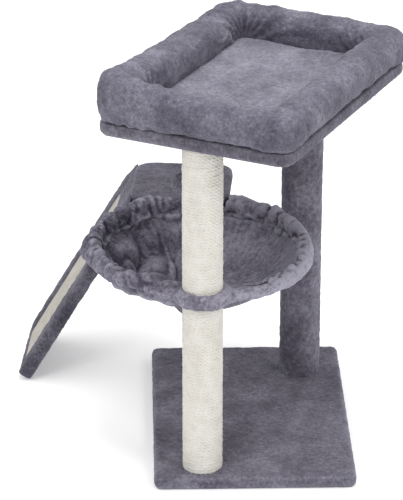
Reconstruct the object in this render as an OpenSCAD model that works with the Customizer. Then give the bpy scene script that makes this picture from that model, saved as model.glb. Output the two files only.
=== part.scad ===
// Cat tree: a base with three posts, a hoop basket, a small shelf with a ramp,
// and a raised perch that carries a padded bed and a hanging ball.
// Millimetres, +Z up. The origin is the centre of the base's underside, on the
// floor. +X is to the right and +Y is to the back.

/* [Base] */
// Width of the base, left to right
base_w = 350; // [340:5:400]
// Depth of the base, front to back
base_l = 515; // [505:5:560]
// Corner radius of the base
base_corner = 12; // [8:1:30]

/* [Boards and covers] */
// Thickness of the particle board in every panel
board_t = 16; // [12:1:18]
// Depth of the plush on the top and the edges of a panel
pile = 5; // [3:0.5:6]
// Plush that a post presses flat under its foot
pressed_t = 1.5; // [1:0.5:2]
// Thickness of the hem and of the liner under a panel
hem_t = 1; // [0.5:0.5:1.5]
// Width of the hem that turns under a panel
hem_w = 26; // [22:1:30]

/* [Posts] */
// Outer diameter of a post wound with sisal rope
sisal_post_d = 70; // [66:1:74]
// Diameter of the sisal rope
rope_d = 5.5; // [4:0.5:6]
// Outer diameter of the post covered with plush
plush_post_d = 75; // [72:1:78]
// Wall thickness of the cardboard tubes
tube_wall = 3.5; // [2.5:0.5:5]
// Length of the two short post sections
section_len = 335; // [325:1:345]
// Length of the upper section of the front post
upper_len = 272; // [250:1:300]
// Front post, left or right of the centre
front_x = -91; // [-95:1:-88]
// Front post, front or back of the centre
front_y = -209; // [-212:1:-206]
// Short rear post, left or right of the centre
rear_left_x = -81; // [-84:1:-78]
// Short rear post, front or back of the centre
rear_left_y = 216; // [214:1:217]
// Tall rear post, left or right of the centre
rear_right_x = 99; // [96:1:102]
// Tall rear post, front or back of the centre
rear_right_y = 160; // [157:1:163]

/* [Basket] */
// Radius of the wire hoop, to the middle of the wire
hoop_r = 186; // [184:1:187]
// Diameter of the hoop wire
wire_d = 6; // [5:0.5:7]
// Sag of the hoop towards the back, in degrees
hoop_sag = 1; // [0.9:0.1:1.3]
// Half the width of the gathered roll of plush round the wire
roll_r = 16.5; // [15:0.5:17]
// How much taller the roll is than wide
roll_rise = 9; // [0:1:10]
// Depth of the basket below the hoop
sling_depth = 76; // [72:1:90]
// Thickness of the basket's cloth with its pile
sling_t = 6; // [5:0.5:8]

/* [Shelf] */
// Width of the shelf, left to right
shelf_w = 180; // [178:1:184]
// Depth of the shelf, front to back
shelf_l = 172; // [170:1:174]
// Corner radius of the shelf
shelf_corner = 30; // [24:1:34]
// Turn of the shelf and the ramp seen from above, in degrees
shelf_turn = -5; // [-6:0.5:-4]

/* [Ramp] */
// Slope of the ramp, in degrees
ramp_slope = 59.5; // [58:0.5:61]
// Width of the ramp
ramp_w = 186; // [176:2:190]
// Depth of the plush on each face of the ramp
ramp_pile = 3.25; // [2.5:0.25:4.5]
// Width of the sisal mat
mat_w = 116; // [100:2:124]
// Length of the sisal mat
mat_l = 342; // [300:2:344]

/* [Perch] */
// Length of the perch
perch_l = 508; // [500:1:520]
// Width of the perch
perch_w = 354; // [345:1:360]
// Corner radius of the perch
perch_corner = 24; // [18:1:34]

/* [Bed] */
// Height of the bolster
bolster_h = 82; // [70:1:110]
// Width of the bolster, from its outside to its inside
bolster_w = 65; // [55:1:75]
// Thickness of the pad between the bolsters
pad_t = 12; // [8:1:20]

/* [Toy] */
// Diameter of the plush ball
ball_d = 46; // [40:1:50]
// Diameter of the cord
cord_d = 2.4; // [2:0.2:2.4]
// Height of the middle of the ball
ball_z = 493; // [480:1:500]
// Where the toy hangs, left or right of the centre
toy_x = -120; // [-124:1:-116]
// Where the toy hangs, front or back of the centre
toy_y = -60; // [-64:1:-56]

/* [Hidden] */
$fn = 72;
gap = 0.3;
cut = 1;

// Levels
base_top_z = hem_t + board_t + pile;
foot_z = hem_t + board_t + pressed_t;
section_top_z = foot_z + section_len;
plate_t = 2.5;
tab_t = 2;
upper_foot_z = section_top_z + plate_t + tab_t;
perch_z = upper_foot_z + upper_len;
perch_top_z = perch_z + base_top_z;
strip_t = 0.8;
bed_z = perch_top_z + 2 * strip_t;
bed_top_z = bed_z + bolster_h;
shelf_z = section_top_z;
shelf_top_z = shelf_z + base_top_z;

// Posts
sisal_tube_d = sisal_post_d - 2 * rope_d;
plush_tube_d = plush_post_d - 2 * pile;
flange_t = 2;
plug_len = 20;
tall_len = perch_z - foot_z;

// Fasteners
bolt_r = 3.9;
thread_r = 4;
clear_r = 4.25;
bolt_head_r = 6.5;
low_head_t = 3.5;
deep_head_t = 5;
key_r = 2.9;
key_depth = 2.4;
washer_r = 12;
washer_t = 1.5;
pocket_r = 13;
pocket_top_z = 8;
bolt_len = 45;
stud_len = 64;
screw_r = 2;
screw_len = 12;
screw_head_r = 4;
screw_head_t = 2;

// Perch: it spans the front post and the tall rear post
span_x = rear_right_x - front_x;
span_y = rear_right_y - front_y;
perch_x = (rear_right_x + front_x) / 2;
perch_y = (rear_right_y + front_y) / 2;
perch_turn = atan2(span_y, span_x);

// Shelf: its centre is set from the post that carries it
shelf_x = rear_left_x - 37;
shelf_y = rear_left_y + 21;

// Basket
wire_z = section_top_z + plate_t / 2;
plate_l = 80;
plate_w = 40;
hoop_gap = 2 * asin((plate_l / 2 - 2) / hoop_r);
wire_space = 0.2;
collar_r = 39;
collar_t = 12.5;
bowl_rim_r = hoop_r - 7;
bowl_r = (bowl_rim_r * bowl_rim_r + sling_depth * sling_depth) / (2 * sling_depth);

// Ramp, in its own frame: x runs down the slope and z runs into the board
ramp_t = board_t + 2 * ramp_pile;
ramp_top_z = shelf_top_z - 2.5;
ramp_len = (ramp_top_z - ramp_t * cos(ramp_slope)) / sin(ramp_slope);
mat_start = 56;
mat_sunk = 0.8;
bracket_t = 2;
bracket_leg = 26;
bracket_drop = 22;
bracket_w = 20;
bracket_v = 55;
shelf_screw_in = 18;
ramp_screw_drop = 13.5;

// Toy: the eye is in the XZ plane, the ring in YZ and the cord's loop in XZ
eye_r = 5;
eye_wire = 1.1;
link_r = 6;
link_wire = 0.8;
loop_r = 4.5;
link_play = 0.05;
eye_z = perch_z - 1.5 - eye_r - eye_wire;
link_top_z = eye_z - eye_r + eye_wire + link_wire + link_play;
link_z = link_top_z - link_r;
loop_top_z = link_z - link_r + link_wire + cord_d / 2 + link_play;
loop_z = loop_top_z - loop_r;
knot_r = 3.4;
knot_z = loop_z - loop_r - 2;
cord_top_z = knot_z - knot_r;
ball_top_z = ball_z + ball_d / 2;
cord_route = [[0, 0, cord_top_z], [0, 0, 580], [0, 0, 560], [0, 0, 540], [0, 0, ball_top_z]];

// Places -------------------------------------------------------------------

module at_front() translate([front_x, front_y, 0]) children();
module at_rear_left() translate([rear_left_x, rear_left_y, 0]) children();
module at_rear_right() translate([rear_right_x, rear_right_y, 0]) children();
module at_toy() translate([toy_x, toy_y, 0]) children();

module at_each_post() {
    at_front() children();
    at_rear_left() children();
    at_rear_right() children();
}

module at_perch_posts() {
    at_front() children();
    at_rear_right() children();
}

module at_perch(z) translate([perch_x, perch_y, z]) rotate([0, 0, perch_turn]) children();
module at_shelf(z) translate([shelf_x, shelf_y, z]) rotate([0, 0, shelf_turn]) children();

// The ramp's top edge lies along the shelf's left edge
module at_ramp() {
    at_shelf(ramp_top_z)
        translate([-shelf_w / 2 - gap, 0, 0])
            rotate([0, 180 - ramp_slope, 0])
                children();
}

// The hoop sags about the plate that the front post clamps
module at_hoop() {
    translate([front_x, front_y, wire_z])
        rotate([-hoop_sag, 0, 0])
            translate([0, hoop_r, 0])
                children();
}

// Shapes -------------------------------------------------------------------

module rounded_plate(w, l, t, r) {
    linear_extrude(t) {
        square([w - 2 * r, l], center = true);
        square([w, l - 2 * r], center = true);
        for (x = [-1, 1], y = [-1, 1])
            translate([x * (w / 2 - r), y * (l / 2 - r)])
                circle(r);
    }
}

module panel_board(w, l, r) {
    translate([0, 0, hem_t])
        rounded_plate(w - 2 * pile, l - 2 * pile, board_t, r - pile);
}

module panel_liner_shape(w, l, h) {
    rounded_plate(w - 2 * hem_w, l - 2 * hem_w, h, 6);
}

// Plush over the top and the edges, with a hem turned under
module panel_cover(w, l, r) {
    difference() {
        rounded_plate(w, l, base_top_z, r);
        panel_board(w, l, r);
        translate([0, 0, -cut])
            panel_liner_shape(w, l, hem_t + cut);
    }
}

module bore(r, from_z, to_z) translate([0, 0, from_z]) cylinder(h = to_z - from_z, r = r);

module sleeve(outer_r, inner_r, from_z, to_z) {
    difference() {
        bore(outer_r, from_z, to_z);
        bore(inner_r, from_z - cut, to_z + cut);
    }
}

module torus(ring_r, wire_r) {
    rotate_extrude()
        translate([ring_r, 0])
            circle(wire_r, $fn = 32);
}

// A flanged plug that points up from z = 0
module plug(tube_d) {
    difference() {
        union() {
            cylinder(h = flange_t, r = tube_d / 2);
            cylinder(h = plug_len, r = tube_d / 2 - tube_wall);
        }
        bore(thread_r, -cut, plug_len + cut);
    }
}

module plug_pair(tube_d, from_z, to_z) {
    translate([0, 0, from_z]) plug(tube_d);
    translate([0, 0, to_z]) mirror([0, 0, 1]) plug(tube_d);
}

// A bolt that points up, with the underside of its head at z = 0
module bolt(head_t) {
    difference() {
        union() {
            cylinder(h = bolt_len, r = bolt_r);
            translate([0, 0, -head_t]) cylinder(h = head_t, r = bolt_head_r);
        }
        translate([0, 0, -head_t - cut]) cylinder(h = key_depth + cut, r = key_r, $fn = 6);
    }
}

module washer() {
    difference() {
        cylinder(h = washer_t, r = washer_r);
        bore(clear_r, -cut, washer_t + cut);
    }
}

module screw() {
    cylinder(h = screw_len, r = screw_r);
    translate([0, 0, -screw_head_t]) cylinder(h = screw_head_t, r = screw_head_r);
}

// Base ---------------------------------------------------------------------

module base_board() {
    color("burlywood")
        difference() {
            panel_board(base_w, base_l, base_corner);
            at_each_post() bore(clear_r, 0, base_top_z);
            at_each_post() bore(pocket_r, 0, pocket_top_z);
        }
}

module base_cover() {
    color("slategray")
        difference() {
            panel_cover(base_w, base_l, base_corner);
            at_each_post() bore(clear_r, 0, base_top_z);
            at_each_post() bore(pocket_r, -cut, hem_t);
            at_front() bore(sisal_post_d / 2 + gap, foot_z, base_top_z + cut);
            at_rear_left() bore(sisal_post_d / 2 + gap, foot_z, base_top_z + cut);
            at_rear_right() bore(plush_post_d / 2 + gap, foot_z, base_top_z + cut);
        }
}

module base_liner() {
    color("dimgray")
        difference() {
            panel_liner_shape(base_w, base_l, hem_t);
            at_each_post() bore(pocket_r, -cut, hem_t + cut);
        }
}

// Posts --------------------------------------------------------------------

module sisal_tube(from_z, to_z) {
    color("tan")
        sleeve(sisal_tube_d / 2, sisal_tube_d / 2 - tube_wall, from_z + flange_t, to_z - flange_t);
}

module sisal_winding(from_z, to_z) {
    color("ivory")
        sleeve(sisal_post_d / 2, sisal_tube_d / 2, from_z, to_z);
}

module front_lower_tube() at_front() sisal_tube(foot_z, section_top_z);
module front_lower_sisal() at_front() sisal_winding(foot_z, section_top_z);
module front_upper_tube() at_front() sisal_tube(upper_foot_z, perch_z);
module front_upper_sisal() at_front() sisal_winding(upper_foot_z, perch_z);
module rear_left_tube() at_rear_left() sisal_tube(foot_z, section_top_z);
module rear_left_sisal() at_rear_left() sisal_winding(foot_z, section_top_z);

module rear_right_tube() {
    color("tan")
        at_rear_right()
            sleeve(plush_tube_d / 2, plush_tube_d / 2 - tube_wall, foot_z + flange_t, perch_z - flange_t);
}

module rear_right_plush() {
    color("slategray")
        at_rear_right()
            sleeve(plush_post_d / 2, plush_tube_d / 2, foot_z, perch_z);
}

module sisal_post_plugs() {
    color("dimgray") {
        at_front() plug_pair(sisal_tube_d, foot_z, section_top_z);
        at_front() plug_pair(sisal_tube_d, upper_foot_z, perch_z);
        at_rear_left() plug_pair(sisal_tube_d, foot_z, section_top_z);
    }
}

module plush_post_plugs() {
    color("dimgray")
        at_rear_right() plug_pair(plush_tube_d, foot_z, perch_z);
}

// Fasteners ----------------------------------------------------------------

module base_bolts() {
    color("silver")
        at_each_post() translate([0, 0, pocket_top_z - washer_t]) bolt(deep_head_t);
}

module base_washers() {
    color("gainsboro")
        at_each_post() translate([0, 0, pocket_top_z - washer_t]) washer();
}

module joining_stud() {
    color("silver")
        at_front() bore(bolt_r, wire_z - stud_len / 2, wire_z + stud_len / 2);
}

// A bolt that points down through a panel whose underside is at panel_z
module panel_bolt(panel_z) {
    translate([0, 0, panel_z + hem_t + board_t + washer_t])
        mirror([0, 0, 1])
            bolt(low_head_t);
}

module panel_washer(panel_z) {
    translate([0, 0, panel_z + hem_t + board_t]) washer();
}

// The holes that a panel's bolt and its washer need
module panel_bolt_holes(panel_z) {
    bore(clear_r, panel_z - cut, panel_z + base_top_z);
    bore(pocket_r, panel_z + hem_t + board_t, panel_z + base_top_z + cut);
}

module perch_bolts() color("silver") at_perch_posts() panel_bolt(perch_z);
module perch_washers() color("gainsboro") at_perch_posts() panel_washer(perch_z);
module shelf_bolt() color("silver") at_rear_left() panel_bolt(shelf_z);
module shelf_washer() color("gainsboro") at_rear_left() panel_washer(shelf_z);

// Basket -------------------------------------------------------------------

module hoop_wire(wire_r) {
    at_hoop()
        rotate([0, 0, hoop_gap / 2 - 90])
            rotate_extrude(angle = 360 - hoop_gap)
                translate([hoop_r, 0])
                    circle(wire_r, $fn = 32);
}

// The roll's section is taller than wide: its cloth bunches up on top of the wire
module hoop_roll(grow) {
    low = 1.5;
    at_hoop()
        rotate_extrude() {
            translate([hoop_r, -low]) circle(roll_r + grow);
            translate([hoop_r, roll_rise - low]) circle(roll_r + grow);
            translate([hoop_r - roll_r - grow, -low]) square([2 * (roll_r + grow), roll_rise]);
        }
}

module hoop_plate(grow) {
    translate([front_x, front_y, wire_z])
        cube([plate_l + 2 * grow, plate_w + 2 * grow, plate_t], center = true);
}

module basket_hoop() {
    color("gray")
        difference() {
            union() {
                hoop_wire(wire_d / 2);
                hoop_plate(0);
            }
            at_front() bore(clear_r, wire_z - plate_t, wire_z + plate_t);
        }
}

// A spherical bowl of cloth, cut back from the roll and from the front post
module basket_sling() {
    color("slateblue")
        difference() {
            at_hoop()
                intersection() {
                    translate([0, 0, bowl_r - sling_depth]) sphere(bowl_r, $fn = 96);
                    translate([0, 0, -sling_depth - cut]) cylinder(h = sling_depth + cut, r = bowl_rim_r);
                }
            at_hoop()
                translate([0, 0, bowl_r - sling_depth]) sphere(bowl_r - sling_t, $fn = 96);
            hoop_roll(gap);
            at_front() bore(sisal_post_d / 2 + gap, 0, perch_z);
            at_front() translate([0, 0, wire_z]) torus(collar_r, collar_t + gap);
        }
}

// The roll round the wire, the collar round the front post and the tab that the
// post's two sections clamp, pressed flat where the shelf lies over the roll
module basket_rim() {
    color("slategray")
        difference() {
            union() {
                hoop_roll(0);
                at_front() translate([0, 0, wire_z]) torus(collar_r, collar_t);
                at_front() bore(collar_r, upper_foot_z - tab_t, upper_foot_z);
            }
            hoop_wire(wire_d / 2 + wire_space);
            hoop_plate(wire_space);
            at_front() bore(sisal_post_d / 2 + gap, 0, upper_foot_z - tab_t);
            at_front() bore(sisal_post_d / 2 + gap, upper_foot_z, perch_z);
            at_front() bore(clear_r, 0, perch_z);
            at_shelf(shelf_z - gap)
                rounded_plate(shelf_w + 2 * gap, shelf_l + 2 * gap, 2 * base_top_z, shelf_corner);
        }
}

// Shelf --------------------------------------------------------------------

// Where the brackets' screws go up into the shelf and into the end of the ramp
module at_shelf_screws() {
    for (v = [-bracket_v, bracket_v])
        at_shelf(shelf_z - bracket_t)
            translate([shelf_screw_in - shelf_w / 2, v, 0])
                children();
}

module at_ramp_screws() {
    for (v = [-bracket_v, bracket_v])
        at_shelf(shelf_z - ramp_screw_drop)
            translate([bracket_t - gap - shelf_w / 2, v, 0])
                rotate([0, -90, 0])
                    children();
}

module shelf_board() {
    color("burlywood")
        difference() {
            at_shelf(shelf_z) panel_board(shelf_w, shelf_l, shelf_corner);
            at_rear_left() panel_bolt_holes(shelf_z);
            at_shelf_screws() cylinder(h = screw_len + gap, r = screw_r + gap);
        }
}

module shelf_cover() {
    color("slategray")
        difference() {
            at_shelf(shelf_z) panel_cover(shelf_w, shelf_l, shelf_corner);
            at_rear_left() panel_bolt_holes(shelf_z);
            at_shelf_screws() cylinder(h = screw_len + gap, r = screw_r + gap);
        }
}

module shelf_liner() {
    color("dimgray")
        difference() {
            at_shelf(shelf_z) panel_liner_shape(shelf_w, shelf_l, hem_t);
            at_rear_left() panel_bolt_holes(shelf_z);
        }
}

// Ramp ---------------------------------------------------------------------

// The slab's long section: square at the floor, mitred to lie flat on the shelf
module ramp_slab(width, inset) {
    near = inset;
    far = ramp_t - inset;
    rotate([90, 0, 0])
        linear_extrude(width, center = true)
            polygon([
                [near * tan(ramp_slope), near],
                [ramp_len - inset, near],
                [ramp_len - inset, far],
                [far * tan(ramp_slope), far]
            ]);
}

module ramp_mat_shape(grow, from_z) {
    translate([mat_start - grow, -mat_w / 2 - grow, from_z])
        cube([mat_l + 2 * grow, mat_w + 2 * grow, ramp_pile - from_z]);
}

module ramp_board() {
    color("burlywood")
        difference() {
            at_ramp() ramp_slab(ramp_w - 2 * pile, ramp_pile);
            at_ramp_screws() cylinder(h = screw_len + gap, r = screw_r + gap);
        }
}

module ramp_cover() {
    color("slategray")
        at_ramp()
            difference() {
                ramp_slab(ramp_w, 0);
                ramp_slab(ramp_w - 2 * pile, ramp_pile);
                ramp_mat_shape(gap, -cut);
            }
}

module ramp_sisal_mat() {
    color("ivory")
        at_ramp() ramp_mat_shape(0, mat_sunk);
}

module ramp_brackets() {
    color("silver")
        difference() {
            for (v = [-bracket_v, bracket_v])
                at_shelf(shelf_z)
                    translate([-gap - shelf_w / 2, v - bracket_w / 2, 0]) {
                        translate([0, 0, -bracket_t]) cube([bracket_leg, bracket_w, bracket_t]);
                        translate([0, 0, -bracket_drop]) cube([bracket_t, bracket_w, bracket_drop]);
                    }
            at_shelf_screws() translate([0, 0, -cut]) cylinder(h = screw_len, r = screw_r + gap);
            at_ramp_screws() translate([0, 0, -cut]) cylinder(h = screw_len, r = screw_r + gap);
        }
}

module ramp_screws() {
    color("gainsboro") {
        at_shelf_screws() screw();
        at_ramp_screws() screw();
    }
}

// Perch --------------------------------------------------------------------

module perch_board() {
    color("burlywood")
        difference() {
            at_perch(perch_z) panel_board(perch_l, perch_w, perch_corner);
            at_perch_posts() panel_bolt_holes(perch_z);
            at_toy() bore(eye_wire + gap, perch_z - cut, perch_z + board_t);
        }
}

module perch_cover() {
    color("slategray")
        difference() {
            at_perch(perch_z) panel_cover(perch_l, perch_w, perch_corner);
            at_perch_posts() panel_bolt_holes(perch_z);
        }
}

module perch_liner() {
    color("dimgray")
        difference() {
            at_perch(perch_z) panel_liner_shape(perch_l, perch_w, hem_t);
            at_perch_posts() panel_bolt_holes(perch_z);
            at_toy() bore(eye_wire + gap, perch_z - cut, perch_z + board_t);
        }
}

// Staples that hold the hems, under the perch and under the shelf
staple_l = 11;
staple_w = 1.2;
staple_t = 0.5;
staple_in = 11;

module staple_row(count, pitch, along_x) {
    size = along_x ? [staple_l, staple_w, staple_t] : [staple_w, staple_l, staple_t];
    for (i = [0 : count - 1]) {
        shift = (i - (count - 1) / 2) * pitch;
        translate([along_x ? shift : 0, along_x ? 0 : shift, -staple_t / 2])
            cube(size, center = true);
    }
}

module cover_staples() {
    color("silver") {
        for (side = [-1, 1]) {
            at_perch(perch_z) translate([0, side * (perch_w / 2 - staple_in), 0]) staple_row(9, 48, true);
            for (half = [-1, 1])
                at_perch(perch_z)
                    translate([side * (perch_l / 2 - staple_in), half * 90, 0])
                        staple_row(3, 40, false);
        }
        at_shelf(shelf_z) translate([0, shelf_l / 2 - staple_in, 0]) staple_row(4, 32, true);
        at_shelf(shelf_z) translate([shelf_w / 2 - staple_in / 2, 32, 0]) staple_row(2, 32, false);
    }
}

// Bed ----------------------------------------------------------------------

strip_l = 80;
strip_w = 24;

module bed_strips() {
    for (x = [-1, 1], y = [-1, 1])
        translate([x * perch_l * 0.28, y * (perch_w / 2 - bolster_w / 2), strip_t / 2])
            cube([strip_l, strip_w, strip_t], center = true);
}

module bed_hook_strips() color("darkslategray") at_perch(perch_top_z) bed_strips();
module bed_loop_strips() color("gray") at_perch(perch_top_z + strip_t) bed_strips();

module bed_pad() {
    color("lightslategray")
        at_perch(bed_z)
            rounded_plate(perch_l - 2 * (bolster_w + gap), perch_w - 2 * (bolster_w + gap), pad_t, 14);
}

module bed_bolster() {
    color("slategray")
        at_perch(bed_z)
            difference() {
                rounded_plate(perch_l, perch_w, bolster_h, 42);
                translate([0, 0, -cut])
                    rounded_plate(perch_l - 2 * bolster_w, perch_w - 2 * bolster_w, bolster_h + 2 * cut, 14);
            }
}

// Toy ----------------------------------------------------------------------

module toy_eye() {
    color("silver")
        at_toy() {
            translate([0, 0, eye_z]) rotate([90, 0, 0]) torus(eye_r, eye_wire);
            bore(eye_wire, eye_z + eye_r, perch_z + board_t - 3);
        }
}

module toy_ring() {
    color("silver")
        at_toy() translate([0, 0, link_z]) rotate([0, 90, 0]) torus(link_r, link_wire);
}

module toy_loop() {
    color("lightgray")
        at_toy() {
            translate([0, 0, loop_z]) rotate([90, 0, 0]) torus(loop_r, cord_d / 2);
            difference() {
                translate([0, 0, knot_z]) sphere(knot_r);
                translate([0, 0, cord_top_z - knot_r]) cylinder(h = knot_r + 0.4, r = knot_r);
            }
        }
}

// A tube of eight sides swept along points that run straight down
function ring_points(p, r) = [for (i = [0 : 7]) [p[0] + r * cos(i * 45), p[1] + r * sin(i * 45), p[2]]];

module toy_cord() {
    rings = len(cord_route);
    top = [cord_route[0][0], cord_route[0][1], cord_top_z + 0.4];
    route = concat([top], [for (i = [1 : rings - 1]) cord_route[i]]);
    points = [for (p = route) each ring_points(p, cord_d / 2)];
    sides = [
        for (k = [0 : rings - 2], i = [0 : 7])
            [8 * k + i, 8 * k + (i + 1) % 8, 8 * (k + 1) + (i + 1) % 8, 8 * (k + 1) + i]
    ];
    top_face = [for (i = [7 : -1 : 0]) i];
    end_face = [for (i = [0 : 7]) 8 * (rings - 1) + i];
    color("lightgray")
        at_toy() polyhedron(points, concat([top_face], sides, [end_face]));
}

module toy_ball() {
    color("lightslategray")
        at_toy() translate([0, 0, ball_z])
            difference() {
                sphere(ball_d / 2);
                bore(cord_d / 2 + gap, ball_d / 2 - 0.5, ball_d);
            }
}

base_board();
base_cover();
base_liner();
front_lower_tube();
front_lower_sisal();
front_upper_tube();
front_upper_sisal();
rear_left_tube();
rear_left_sisal();
rear_right_tube();
rear_right_plush();
sisal_post_plugs();
plush_post_plugs();
base_bolts();
base_washers();
joining_stud();
perch_bolts();
perch_washers();
shelf_bolt();
shelf_washer();
basket_hoop();
basket_sling();
basket_rim();
shelf_board();
shelf_cover();
shelf_liner();
ramp_board();
ramp_cover();
ramp_sisal_mat();
ramp_brackets();
ramp_screws();
perch_board();
perch_cover();
perch_liner();
cover_staples();
bed_hook_strips();
bed_loop_strips();
bed_pad();
bed_bolster();
toy_eye();
toy_ring();
toy_loop();
toy_cord();
toy_ball();
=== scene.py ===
"""Looks for the cat tree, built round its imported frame, in metres.

Plush panels, a padded bolster bed, rope-wound posts, a gathered hoop basket, a ramp with a
sisal mat and a hanging plush ball. Each soft piece replaces the plain CAD solid in its place.
"""

import math

import bmesh
import bpy
import numpy as np
from mathutils import Matrix, Vector


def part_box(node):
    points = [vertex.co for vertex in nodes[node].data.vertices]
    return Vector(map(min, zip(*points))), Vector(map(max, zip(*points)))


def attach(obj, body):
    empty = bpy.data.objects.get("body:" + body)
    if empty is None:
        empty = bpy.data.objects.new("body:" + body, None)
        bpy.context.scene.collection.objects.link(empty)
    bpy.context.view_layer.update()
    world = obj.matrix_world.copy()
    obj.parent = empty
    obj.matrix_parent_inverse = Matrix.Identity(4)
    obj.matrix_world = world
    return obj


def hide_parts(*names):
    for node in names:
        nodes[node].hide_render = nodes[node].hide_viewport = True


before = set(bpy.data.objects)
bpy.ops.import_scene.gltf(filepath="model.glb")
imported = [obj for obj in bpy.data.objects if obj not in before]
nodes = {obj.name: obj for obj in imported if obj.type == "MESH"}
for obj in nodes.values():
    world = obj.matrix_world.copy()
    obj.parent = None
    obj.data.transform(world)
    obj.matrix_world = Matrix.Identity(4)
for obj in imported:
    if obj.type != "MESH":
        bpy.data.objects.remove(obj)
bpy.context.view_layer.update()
scene = bpy.context.scene
TAU = 2 * math.pi

# Places and sizes, from the frame ----------------------------


def middle(node):
    low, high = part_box(node)
    return (low + high) / 2


def span(node):
    low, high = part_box(node)
    return high - low


FRONT = middle("front_lower_sisal")
REAR_RIGHT = middle("rear_right_plush")
SECTION_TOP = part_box("front_lower_sisal")[1].z
SISAL_R = span("front_lower_sisal").x / 2
SISAL_TUBE_R = span("front_lower_tube").x / 2
PLUSH_POST_R = span("rear_right_plush").x / 2
PLUSH_TUBE_R = span("rear_right_tube").x / 2
PANEL_T = span("base_cover").z
HEM_T = span("base_liner").z
BOARD_T = span("base_board").z
PILE = PANEL_T - HEM_T - BOARD_T

BASE_W, BASE_L = span("base_cover").x, span("base_cover").y
BASE_CORNER = 0.012
HEM_W = (BASE_W - span("base_liner").x) / 2

PERCH = middle("perch_cover")
PERCH_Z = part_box("perch_cover")[0].z
PERCH_W, PERCH_L = 0.354, 0.508
PERCH_CORNER = 0.024
PERCH_TURN = math.atan2(REAR_RIGHT.y - FRONT.y, REAR_RIGHT.x - FRONT.x)

BED_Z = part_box("bed_bolster")[0].z
BOLSTER_W = 0.065
BOLSTER_OUT = 0.006
BOLSTER_CORNER = 0.042
PAD_T = span("bed_pad").z
PAD_TUCK = 0.014
PAD_LIFT = 0.0012

SHELF = middle("shelf_cover")
SHELF_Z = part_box("shelf_cover")[0].z
SHELF_W, SHELF_L = 0.180, 0.172
SHELF_CORNER = 0.030
SHELF_TURN = math.radians(-5)

RAMP_SLOPE = math.radians(59.5)
RAMP_W = 0.186
RAMP_T = 0.0225
RAMP_PILE = 0.00325
RAMP_TIP = 0.003
RAMP_TOP_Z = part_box("ramp_cover")[1].z
RAMP_LEN = (RAMP_TOP_Z - RAMP_T * math.cos(RAMP_SLOPE)) / math.sin(RAMP_SLOPE)
JOINT_GAP = 0.0003
MAT_W, MAT_L, MAT_START = 0.116, 0.342, 0.056

HOOP_R = 0.186
HOOP_SAG = math.radians(1.0)
HOOP_Z = SECTION_TOP + 0.00125
SLING_DEPTH = 0.075

TOY = middle("toy_ball")
BALL_R = span("toy_ball").x / 2
CORD_D = span("toy_cord").x

PERCH_PLACE = Matrix.Translation((PERCH.x, PERCH.y, 0)) @ Matrix.Rotation(PERCH_TURN, 4, "Z")
SHELF_PLACE = Matrix.Translation((SHELF.x, SHELF.y, 0)) @ Matrix.Rotation(SHELF_TURN, 4, "Z")
RAMP_PLACE = (
    SHELF_PLACE
    @ Matrix.Translation((-SHELF_W / 2 - JOINT_GAP, 0, RAMP_TOP_Z))
    @ Matrix.Rotation(math.pi - RAMP_SLOPE, 4, "Y")
)
HOOP_PLACE = (
    Matrix.Translation((FRONT.x, FRONT.y, HOOP_Z))
    @ Matrix.Rotation(-HOOP_SAG, 4, "X")
    @ Matrix.Translation((0, HOOP_R, 0))
)

# Camera, light and floor -------------------------------------


def make_camera():
    """A long lens in front of the cat tree that looks down on it."""
    data = bpy.data.cameras.new("camera")
    data.sensor_width = 36
    data.lens = 198.46
    data.clip_end = 50
    camera = bpy.data.objects.new("camera", data)
    camera.location = (-0.198, -4.448, 2.345)
    camera.rotation_euler = (math.radians(65.75), 0, math.radians(-1.42))
    scene.collection.objects.link(camera)
    scene.camera = camera


def area_light(name, place, target, size, power):
    data = bpy.data.lights.new(name, "AREA")
    data.shape = "DISK"
    data.size = size
    data.energy = power
    light = bpy.data.objects.new(name, data)
    light.location = place
    light.rotation_euler = (Vector(target) - Vector(place)).to_track_quat("-Z", "Y").to_euler()
    scene.collection.objects.link(light)


def floor_material():
    """White paper that glows a little, so that the shadows on it stay faint."""
    n = Nodes("floor")
    n.set(Base_Color=(0.9, 0.9, 0.9, 1), Roughness=0.9, Specular_IOR_Level=0.1)
    n.set(Emission_Color=(1, 1, 1, 1), Emission_Strength=0.25)
    return n.material


def make_stage():
    """Even studio light from above and both sides, and a floor."""
    scene.view_settings.view_transform = "Standard"
    world = bpy.data.worlds.new("studio")
    world.use_nodes = True
    world.node_tree.nodes["Background"].inputs["Color"].default_value = (1, 1, 1, 1)
    world.node_tree.nodes["Background"].inputs["Strength"].default_value = 0.84
    scene.world = world
    area_light("left_key", (-2.1, -2.4, 2.9), (0, 0, 0.4), 1.5, 31)
    area_light("right_key", (2.4, -2.3, 2.9), (0, 0, 0.4), 1.5, 29)
    area_light("top", (0.2, 0.0, 3.4), (0, 0, 0.35), 2.0, 42)
    bpy.ops.mesh.primitive_plane_add(size=30, location=(0, 0, -0.0004))
    floor = bpy.context.object
    floor.name = "floor"
    floor.data.materials.append(floor_material())


# Noise -------------------------------------------------------


def lattice(i, j, k, seed):
    """A fixed pseudo-random number from -1 to 1 for each whole point of a grid."""
    h = (i * 374761393 + j * 668265263 + k * 1440670441 + seed * 1274126177) & 0xFFFFFFFF
    h = ((h ^ (h >> 13)) * 1274126177) & 0xFFFFFFFF
    return ((h ^ (h >> 16)) & 0xFFFF) / 32767.5 - 1


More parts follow.
